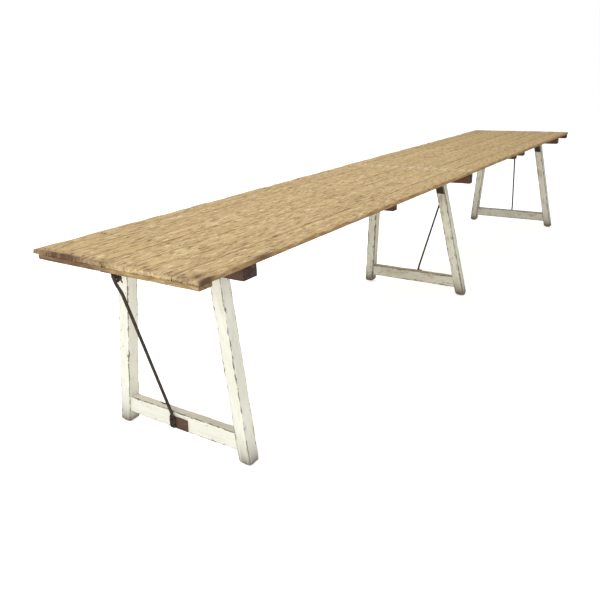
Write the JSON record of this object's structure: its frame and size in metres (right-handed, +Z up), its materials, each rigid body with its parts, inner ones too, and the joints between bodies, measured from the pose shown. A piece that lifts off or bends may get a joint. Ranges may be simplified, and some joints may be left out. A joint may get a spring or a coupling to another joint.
{
  "type": "folding trestle table",
  "caption": "Long rustic plank table on splayed painted trestle frames that hinge flat under the top, each held open by an iron stay rod.",
  "frame": {"origin": "floor level under the centre of the top", "axes": "+X along the table from its near end to its far end, +Y across it, +Z up"},
  "size_m": [4.346, 0.762, 0.76],
  "materials": {
    "bare_pine": "dry weathered bare boards",
    "painted_batten": "old dull red-brown paint",
    "worn_paint": "worn cream paint, chipped",
    "dark_iron": "black forged iron",
    "rusted_iron": "rusty iron plate"
  },
  "bodies": {
    "table_top": {"near_plank_1": "bare_pine", "near_plank_2": "bare_pine", "near_plank_3": "bare_pine", "near_plank_4": "bare_pine", "near_plank_5": "bare_pine", "near_plank_6": "bare_pine", "near_plank_7": "bare_pine", "near_plank_8": "bare_pine", "far_plank_1": "bare_pine", "far_plank_2": "bare_pine", "far_plank_3": "bare_pine", "far_plank_4": "bare_pine", "far_plank_5": "bare_pine", "far_plank_6": "bare_pine", "far_plank_7": "bare_pine", "far_plank_8": "bare_pine", "near_nails": "dark_iron", "far_nails": "dark_iron", "near_end_batten": "bare_pine", "near_hinge_batten": "painted_batten", "near_middle_batten": "painted_batten", "joint_hinge_batten": "painted_batten", "stay_batten": "painted_batten", "far_middle_batten": "painted_batten", "far_hinge_batten": "painted_batten", "far_end_batten": "painted_batten", "near_hinge_plates": "dark_iron", "near_hinge_pins": "dark_iron", "middle_hinge_plates": "dark_iron", "middle_hinge_pins": "dark_iron", "far_hinge_plates": "dark_iron", "far_hinge_pins": "dark_iron", "near_stay_staple": "dark_iron", "middle_stay_staple": "dark_iron", "far_stay_staple": "dark_iron"},
    "near_frame": {"near_leg_right": "worn_paint", "near_leg_left": "worn_paint", "near_stretcher": "worn_paint", "near_hinge_flaps": "dark_iron", "near_stay_keeper": "rusted_iron"},
    "middle_frame": {"middle_leg_right": "worn_paint", "middle_leg_left": "worn_paint", "middle_stretcher": "worn_paint", "middle_hinge_flaps": "dark_iron", "middle_stay_keeper": "rusted_iron"},
    "far_frame": {"far_leg_right": "worn_paint", "far_leg_left": "worn_paint", "far_stretcher": "worn_paint", "far_hinge_flaps": "dark_iron", "far_stay_keeper": "rusted_iron"},
    "near_stay_rod": {"near_stay": "dark_iron"},
    "middle_stay_rod": {"middle_stay": "dark_iron"},
    "far_stay_rod": {"far_stay": "dark_iron"}
  },
  "joints": [
    {"name": "near_frame_fold", "type": "hinge", "parent": "table_top", "child": "near_frame", "pos_m": [-1.876, 0, 0.69], "axis": [0, -1, 0], "range_deg": [0, 90]},
    {"name": "middle_frame_fold", "type": "hinge", "parent": "table_top", "child": "middle_frame", "pos_m": [-0.037, 0, 0.69], "axis": [0, 1, 0], "range_deg": [0, 100]},
    {"name": "far_frame_fold", "type": "hinge", "parent": "table_top", "child": "far_frame", "pos_m": [1.912, 0, 0.69], "axis": [0, 1, 0], "range_deg": [0, 100]},
    {"name": "near_stay_swing", "type": "hinge", "parent": "table_top", "child": "near_stay_rod", "pos_m": [-2.143, 0, 0.705], "axis": [0, -1, 0], "range_deg": [0, 63.9]},
    {"name": "middle_stay_swing", "type": "hinge", "parent": "table_top", "child": "middle_stay_rod", "pos_m": [0.857, 0.055, 0.687], "axis": [0, 1, 0], "range_deg": [0, 36]},
    {"name": "far_stay_swing", "type": "hinge", "parent": "table_top", "child": "far_stay_rod", "pos_m": [2.137, 0.017, 0.69], "axis": [0, 1, 0], "range_deg": [0, 75]}
  ],
  "couplings": [
    {"joint": "near_stay_swing", "follows": "near_frame_fold", "ratio": 0.71},
    {"joint": "middle_stay_swing", "follows": "middle_frame_fold", "ratio": 0.36},
    {"joint": "far_stay_swing", "follows": "far_frame_fold", "ratio": 0.75}
  ]
}
